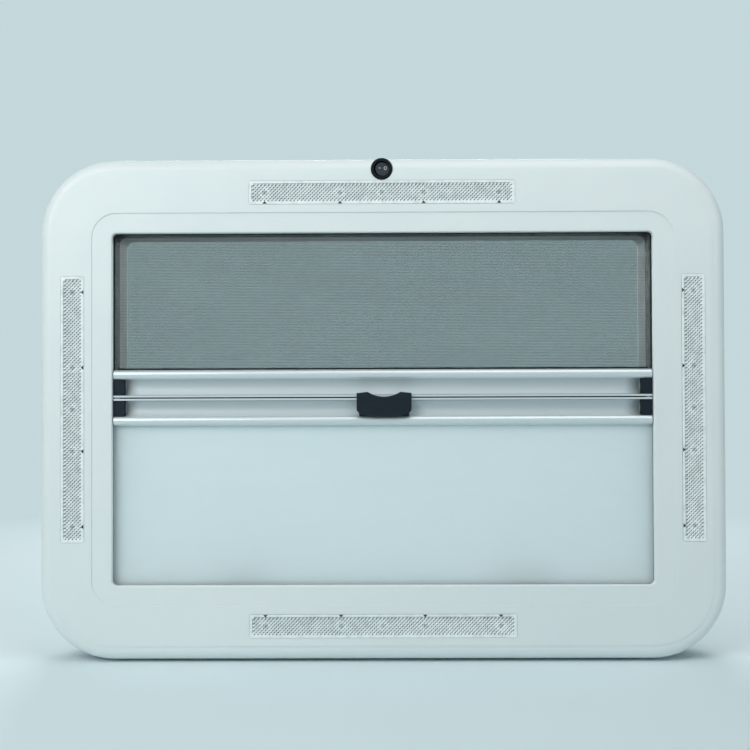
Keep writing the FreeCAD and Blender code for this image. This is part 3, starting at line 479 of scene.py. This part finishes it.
# lens plate: a grid of half prisms where every second point is a peak, so four facets make each pyramid;
# cells are split along their two low corners, and a flat plate closes the back
def lensShape():
    fieldX = np.linspace(-0.5, 0.5, 2 * lens["columns"] + 1) * (lens["length"] - 2 * lens["border"])
    fieldZ = np.linspace(-0.5, 0.5, 2 * lens["rows"] + 1) * (lens["width"] - 2 * lens["border"])
    x, z = crossed(np.r_[-lens["length"] / 2, fieldX, lens["length"] / 2],
                   np.r_[-lens["width"] / 2, fieldZ, lens["width"] / 2])
    i, j = np.indices(x.shape)
    peak = (i + j) % 2 == 0
    inField = (i > 1) & (i < x.shape[0] - 2) & (j > 1) & (j < x.shape[1] - 2)
    depth = np.where(inField, lens["valley"] + lens["prism"] * peak, lens["plate"])
    a, b, c, d = gridQuads(*x.shape).T
    lowSplit = np.r_[np.c_[a, b, d], np.c_[b, c, d]]
    highSplit = np.r_[np.c_[a, b, c], np.c_[a, c, d]]
    peakFirst = np.tile(peak[:-1, :-1].reshape(-1), 2)
    facets = np.r_[lowSplit[peakFirst], highSplit[~peakFirst]]
    points = np.r_[pointList(x, z, depth), pointList(x, z, lens["seat"])]
    return points, [facets[:, ::-1], *plateFaces(*x.shape)[1:]]


# painted facet shade: how far each face leans towards upper left, where the key lamp stands, from 0 for lower
# right to 1; flat faces are bright and the side walls dark, as painted shade of the gap round the plate; over
# each light chip the facets dim in a small round patch of painted shade with a lighter ring of painted
# highlight
def paintFacetShade(piece, side):
    mesh = piece.data
    normal, middle = np.zeros((2, len(mesh.polygons) * 3), np.float32)
    mesh.polygons.foreach_get("normal", normal)
    mesh.polygons.foreach_get("center", middle)
    normal = normal.reshape(-1, 3)
    offset = (middle.reshape(-1, 3) - np.array(lensCentres[side])) / millimetre
    turn = lensTurns[side]
    along = offset[:, 0] * math.cos(turn) - offset[:, 2] * math.sin(turn)
    across = offset[:, 0] * math.sin(turn) + offset[:, 2] * math.cos(turn)
    fromChip = np.hypot(np.abs(along[:, None] - np.array(chip["places"])).min(1), across)
    lean = normal @ np.array(facet["lean"])
    shade = facet["level"] + facet["darker"] * np.minimum(lean, 0) + facet["lighter"] * np.maximum(lean, 0)
    shade = np.clip(shade - facet["crossShare"] * (normal @ np.array(facet["across"])), 0, 1)
    # painted shade over each chip, and round it a ring of painted highlight
    shade -= chip["dim"] * np.exp(-(fromChip / chip["patch"]) ** 2)
    shade += chip["ring"] * np.exp(-((fromChip - chip["ringRadius"]) / chip["ringWidth"]) ** 2)
    # painted shade: the side walls of the plate are dark, standing in for the shade in the gap round the lens
    shade = np.where(np.abs(normal[:, 1]) < facet["wallTo"], facet["wall"], np.clip(shade, 0, 1))
    shade = np.where(normal[:, 1] < -facet["flatFrom"], facet["flat"], shade)
    mesh.attributes.new("paintedFacetShade", "FLOAT", "FACE").data.foreach_set("value", shade.astype(np.float32))


lensPoints, lensFaces = lensShape()
for side in lensTurns:
    plate = meshPiece("lensPlate_" + side, onLight(side, lensPoints), lensFaces, smooth=False)
    dressed(plate, "frame", "clear_lens")
    paintFacetShade(plate, side)
    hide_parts("light_lens_" + side)
print("lens plates built")

# lens clip: a wedge, triangular in plan, whose ridge falls from the lens edge towards its middle
clip = dict(places=(-126, -45, 45, 126), width=5.4, foot=-12.0, reach=2.6, low=57.1, high=57.7, thick=0.4,
            taper=0.92, fall=0.7, columns=9, rows=6)
u, v = crossed(np.linspace(-1, 1, clip["columns"]), np.linspace(0, 1, clip["rows"]))
along = u * clip["width"] / 2 * (1 - clip["taper"] * v)
across = clip["foot"] + v * clip["reach"]
ridge = clip["low"] + (clip["high"] - clip["low"]) * (1 - u ** 2) * (1 - clip["fall"] * v ** 2)
clipPoints = np.r_[pointList(along, across, ridge), pointList(along, across, clip["low"] - clip["thick"])]
clips = alongLights("lensClips", clipPoints, plateFaces(*u.shape), clip["places"])
dressed(clips, "frame", "dark_plastic")

# chip face: a low dome on a square, its height falls as one minus the fourth powers of both sides
phosphorLook = dict(tone=(0.82, 0.66, 0.22), tone2=(0.74, 0.56, 0.15), driftScale=300, smearScale=400,
                    rough=(0.4, 0.55), grainScale=2500, grainStrength=0.2, grainDepth=0.0002, gloss=0.4)
row = np.linspace(-1, 1, chip["steps"])
u, v = crossed(row, row)
along = u * chip["size"] / 2
across = v * chip["size"] / 2
dome = chip["base"] + chip["rise"] * (1 - u ** 4) * (1 - v ** 4)
chipPoints = np.r_[pointList(along, across, dome), pointList(along, across, chip["base"] - chip["sunk"])]
chips = alongLights("chipFaces", chipPoints, plateFaces(*u.shape), chip["places"])
dressed(chips, "frame", "light_board", mouldedPlastic("chipPhosphor", phosphorLook))
print("clips and chip faces built")

# edge bead of the net: a tube along the bar whose height wanders as a sum of sines
bead = dict(radius=1.05, wander=0.16, depth=45.75, top=313.1, half=287, rings=281, sides=8,
            waves=((0.5, 31, 0, 0.4), (0.35, 77, 0, 1.9), (0.4, 13, 0, 0)))
u, around = crossed(np.linspace(-1, 1, bead["rings"]), fullTurn(bead["sides"]))
depth = bead["depth"] + bead["radius"] * np.cos(around)
height = bead["top"] + bead["wander"] * sineSum(bead["waves"], u, around) + bead["radius"] * np.sin(around)
netBead = meshPiece("netBead", pointList(u * bead["half"], -depth, height) * millimetre, barFaces(*u.shape))
dressed(netBead, "screen_bar", "rubber")

# hollow webs of the bars: for each bar the low edge, the high edge and how far the face curves in
hollow = dict(half=277.5, back=43.3, thick=0.2, columns=33, rows=17,
              screen=(284.8, 302.3, 3.3), blind=(261.5, 279.0, 4.2))
# painted shade: the webs are the bars' aluminium in a darker tone, standing in for the shade in the recess
# under the rails
paintedShadeWebLook = dict(tone=(0.585, 0.65, 0.67), tone2=(0.565, 0.63, 0.65), stretch=(0.8, 1400, 1400),
               streakScale=1.0,
               cloudScale=14, rough=(0.52, 0.6), bumpStrength=0.008, metallic=0.25)
paintedShadeWebMetal = drawnMetal("paintedShadeWebMetal", paintedShadeWebLook)


# web: depth falls from both edges as a parabola of the height
def hollowWeb(name, body, low, high, sag):
    u, v = crossed(np.linspace(-1, 1, hollow["columns"]), np.linspace(-1, 1, hollow["rows"]))
    x = u * hollow["half"]
    z = (low + high) / 2 + v * (high - low) / 2
    front = pointList(x, -(hollow["back"] + sag * v ** 2), z)
    rear = pointList(x, -(hollow["back"] - hollow["thick"]), z)
    web = meshPiece(name, np.r_[front, rear] * millimetre, plateFaces(*u.shape))
    return dressed(web, body, "aluminium", paintedShadeWebMetal)


hollowWeb("screenWeb", "screen_bar", *hollow["screen"])
hollowWeb("blindWeb", "blind_bar", *hollow["blind"])


# square root that keeps the sign, which turns a circle into a rounded square
def signedRoot(value):
    return np.sign(value) * np.sqrt(np.abs(value))


# meeting seal: a soft dark strip on the back of the screen bar's lip, a flat rounded section
seal = dict(half=286, depth=39.6, thick=1.2, low=278.6, high=285.4, rings=41, sides=24)
u, around = crossed(np.linspace(-1, 1, seal["rings"]), fullTurn(seal["sides"]))
depth = seal["depth"] + signedRoot(np.cos(around)) * seal["thick"]
height = (seal["high"] + seal["low"]) / 2 + signedRoot(np.sin(around)) * (seal["high"] - seal["low"]) / 2
meetSeal = meshPiece("meetSeal", pointList(u * seal["half"], -depth, height) * millimetre, barFaces(*u.shape))
dressed(meetSeal, "screen_bar", "rubber")

# fly screen and blind: stretched sheets with shallow ripples, from roller to bar; lengths in metres
screenCloth = dict(piece="flyNet", node="fly_screen", slot="screen_mesh",
                   holders=["screen_bar", "screen_roller"],
                   joint="screen_slide", travel=0.140, fixed="high", ripple=0.00035, columns=61, rows=21)
blindCloth = dict(piece="blindSheet", node="blackout_blind", slot="blind_fabric",
                  holders=["blind_bar", "blind_roller"],
                  joint="blind_slide", travel=0.164, fixed="low", ripple=0.00045, columns=61, rows=25)
ripples = ((0.6, 9.4, 2.2, 0), (0.4, 23.0, -3.1, 1.3))


# sheet: depth is the middle of the CAD fabric plus two crossing sine ripples that die out at the held edges
def hangSheet(cloth):
    low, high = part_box(cloth["node"])
    width, length = high.x - low.x, high.z - low.z
    u, v = crossed(np.linspace(0, 1, cloth["columns"]), np.linspace(0, 1, cloth["rows"]))
    y = (low.y + high.y) / 2 + cloth["ripple"] * np.sin(math.pi * v) * sineSum(ripples, u, v)
    uv = np.stack([u * width, v * length], -1).reshape(-1, 2)
    points = pointList(low.x + u * width, y, low.z + v * length)
    piece = meshPiece(cloth["piece"], points, [gridQuads(*u.shape)[:, ::-1]], uv)
    dressed(piece, "frame", cloth["slot"])
    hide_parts(cloth["node"])
    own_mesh(piece)


hangSheet(screenCloth)
hangSheet(blindCloth)
print("fly screen and blind hung")

# rocker marks: a dash and a ring on the dished button
rocker = dict(tilt=8, pivot=52.0, height=527.6, dish=30.0, centre=34.1, markZ=1.0, lift=0.10, sides=8,
              ringX=3.3, ringHalf=(1.3, 1.6), ringWire=0.27, ringSteps=32,
              dashX=-2.7, dashHalf=1.3, dashWire=0.3, dashSteps=13, leastPinch=0.0001)
marksLook = dict(tone=(0.80, 0.85, 0.86), tone2=(0.72, 0.77, 0.78), driftScale=900, smearScale=900,
                 rough=(0.45, 0.6), grainScale=3000, grainStrength=0.2, grainDepth=0.0001, gloss=0.4)


# a point on the button: the dish is a cylinder, then the whole is turned by the rest tilt about
# the upright pin
def onRocker(x, z, lift):
    depth = rocker["centre"] - np.sqrt(rocker["dish"] ** 2 - x ** 2) + lift
    turn = math.radians(rocker["tilt"])
    turnedX = x * math.cos(turn) + depth * math.sin(turn)
    turnedY = x * math.sin(turn) - depth * math.cos(turn) - rocker["pivot"]
    return pointList(turnedX, turnedY, rocker["height"] + z) * millimetre


# ring: an oval of thin wire, flattened on the button
theta, phi = crossed(fullTurn(rocker["ringSteps"]), fullTurn(rocker["sides"]))
wire = rocker["ringWire"] * np.cos(phi)
ringX = rocker["ringX"] + (rocker["ringHalf"][0] + wire) * np.cos(theta)
ringZ = rocker["markZ"] + (rocker["ringHalf"][1] + wire) * np.sin(theta)
ringMark = onRocker(ringX, ringZ, rocker["lift"] * np.sin(phi))
ringFaces = gridQuads(*theta.shape, closedRows=True, closedColumns=True)[:, ::-1]
# dash: a flat bar, pinched at both ends by the root of one minus the sixth power of the length
u, phi = crossed(np.linspace(-1, 1, rocker["dashSteps"]), fullTurn(rocker["sides"]))
pinch = np.sqrt(np.maximum(1 - u ** 6, rocker["leastPinch"]))
dashX = rocker["dashX"] + rocker["dashHalf"] * u
dashZ = rocker["markZ"] + rocker["dashWire"] * pinch * np.sin(phi)
dashMark = onRocker(dashX, dashZ, rocker["lift"] * pinch * np.cos(phi))
dashFaces = barFaces(*u.shape, start=len(ringMark))
marks = meshPiece("rockerMarks", np.r_[ringMark, dashMark], [ringFaces, *dashFaces])
dressed(marks, "switch_rocker", "black_plastic", mouldedPlastic("markPaint", marksLook))

# flange screws: pan heads with a cross recess, in rows along the long and short edges
screw = dict(radius=4.0, rise=2.2, face=4.0, slot=0.55, sink=1.1, reach=0.62, sinkPower=0.35, crownPower=2.6,
             innermost=0.02, rings=15, sides=48, longEdge=263.5, longPlaces=(-300, -100, 100, 300),
             shortEdge=363.5, shortPlaces=(-150, 150))
# head: height is a quarter oval of the radius, less a dip where either cross arm passes
radial, around = crossed(np.linspace(screw["innermost"], 1, screw["rings"]), fullTurn(screw["sides"]))
headX = screw["radius"] * radial * np.cos(around)
headZ = screw["radius"] * radial * np.sin(around)
crown = screw["rise"] * np.sqrt(np.maximum(1 - radial ** screw["crownPower"], 0))
inArm = (np.minimum(np.abs(headX), np.abs(headZ)) < screw["slot"]) & (radial < screw["reach"])
dip = np.where(inArm, screw["sink"] * np.maximum(1 - radial / screw["reach"], 0) ** screw["sinkPower"], 0)
headPoints = pointList(headX, screw["face"] + np.maximum(crown - dip, 0), headZ) * millimetre
headFaces = [block[:, ::-1] for block in barFaces(*radial.shape)]
spots = [(along, 0, side * screw["longEdge"]) for side in (1, -1) for along in screw["longPlaces"]]
spots += [(side * screw["shortEdge"], 0, along) for side in (1, -1) for along in screw["shortPlaces"]]
shifts = np.array(spots) * millimetre + np.array([0, 0, middleZ])
screwFaces = copiedFaces(headFaces, len(headPoints), len(shifts))
screws = meshPiece("flangeScrews", copiedPoints(headPoints, shifts), screwFaces)
dressed(screws, "frame", "stay_metal")
print("marks and screws built")

backdrop = dict(seen=(0.555, 0.685, 0.715), light=(0.93, 0.99, 1.0), strength=0.36)

# floor: a wide disc of rings, a hair below the frame's edge so that a thin dark line shows under it
floorLook = dict(radius=7.0, level=-0.0028, rings=24, sides=64, innermost=0.001, tone=(0.775, 0.90, 0.93),
                 tone2=(0.75, 0.88, 0.91), washScale=1.6, washDetail=3, rough=0.85, gloss=0.15,
                 fade=(0.5, 1.5))
reach = np.linspace(floorLook["innermost"], 1, floorLook["rings"]) ** 2 * floorLook["radius"]
radial, around = crossed(reach, fullTurn(floorLook["sides"]))
floorPoints = pointList(radial * np.cos(around), radial * np.sin(around), floorLook["level"])
floorFaces = [gridQuads(*radial.shape, closedColumns=True), np.arange(floorLook["sides"])[None, ::-1]]
floor = meshPiece("floor", floorPoints, floorFaces)
material, tree, shader = startFinish("floorPaper")
toned(tree, shader, noiseOver(tree, stretched(tree), floorLook["washScale"], floorLook["washDetail"]),
      floorLook)
shader.inputs["Roughness"].default_value = floorLook["rough"]
shader.inputs["Specular IOR Level"].default_value = floorLook["gloss"]
floor.data.materials.append(material)
# far from the object the paper takes the backdrop's own colour, so no horizon shows
away = addNode(tree, "ShaderNodeVectorMath", operation="LENGTH")
tree.links.new(stretched(tree), away.inputs[0])
far = mapped(tree, away.outputs["Value"], 0, 1, *floorLook["fade"])
farPaper = addNode(tree, "ShaderNodeEmission")
farPaper.inputs["Color"].default_value = (*backdrop["seen"], 1)
farSight = maths(tree, "MULTIPLY", far, raysOf(tree, "Is Camera Ray", "Is Glossy Ray"))
shownMix(tree, tree.nodes["Material Output"], farSight, shader, farPaper)

# world: soft light for the object, a plain pale backdrop for the eye, for gloss and for what is clear
world = bpy.data.worlds.new("studio")
scene.world = world
world.use_nodes = True
tree = world.node_tree
tree.nodes.clear()
softLight = addNode(tree, "ShaderNodeBackground")
softLight.inputs["Color"].default_value = (*backdrop["light"], 1)
softLight.inputs["Strength"].default_value = backdrop["strength"]
seen = addNode(tree, "ShaderNodeBackground")
seen.inputs["Color"].default_value = (*backdrop["seen"], 1)
sight = raysOf(tree, "Is Camera Ray", "Is Glossy Ray", "Is Transmission Ray")
shownMix(tree, addNode(tree, "ShaderNodeOutputWorld"), sight, softLight, seen)

# soft boxes: key from the left, one above the front, one behind for the dome and the blind
softBoxes = [
    dict(name="keyBox", place=(-0.95, -1.3, 1.1), aim=(-0.05, -0.05, 0.3), size=1.0, power=11.6,
         tone=(1.0, 0.995, 0.985)),
    dict(name="topBox", place=(0.32, -0.55, 1.2), aim=(0.1, -0.05, 0.4), size=0.9, power=3.4,
         tone=(1.0, 1.0, 1.0)),
    dict(name="rearBox", place=(-0.1, 2.3, 1.0), aim=(0, 0, middleZ), size=1.6, power=40,
         tone=(1.0, 1.0, 1.0)),
]
for box in softBoxes:
    lamp = bpy.data.lights.new(box["name"], "AREA")
    lamp.size = box["size"]
    lamp.energy = box["power"]
    lamp.color = box["tone"]
    holder = bpy.data.objects.new(box["name"], lamp)
    scene.collection.objects.link(holder)
    aim = Vector(box["aim"]) - Vector(box["place"])
    holder.location = box["place"]
    holder.rotation_euler = aim.to_track_quat("-Z", "Y").to_euler()

# camera: turned left by yaw, up by pitch, then rolled about its own axis; focal length in pixels
# of the picture
eye = dict(place=(-0.0002, -1.207, 0.2913), yaw=0.0067, pitch=0.0127, roll=-0.0034, focal=1072.15, pixels=750,
           sensor=36)
camera = bpy.data.cameras.new("camera")
camera.sensor_width = eye["sensor"]
camera.lens = eye["sensor"] * eye["focal"] / eye["pixels"]
cameraHolder = bpy.data.objects.new("camera", camera)
scene.collection.objects.link(cameraHolder)
yawed = Matrix.Rotation(eye["yaw"], 4, "Z")
pitched = Matrix.Rotation(math.pi / 2 + eye["pitch"], 4, "X")
rolled = Matrix.Rotation(eye["roll"], 4, "Z")
cameraHolder.matrix_world = Matrix.Translation(eye["place"]) @ yawed @ pitched @ rolled
scene.camera = cameraHolder
scene.view_settings.view_transform = "Standard"
print("stage, light and camera set")
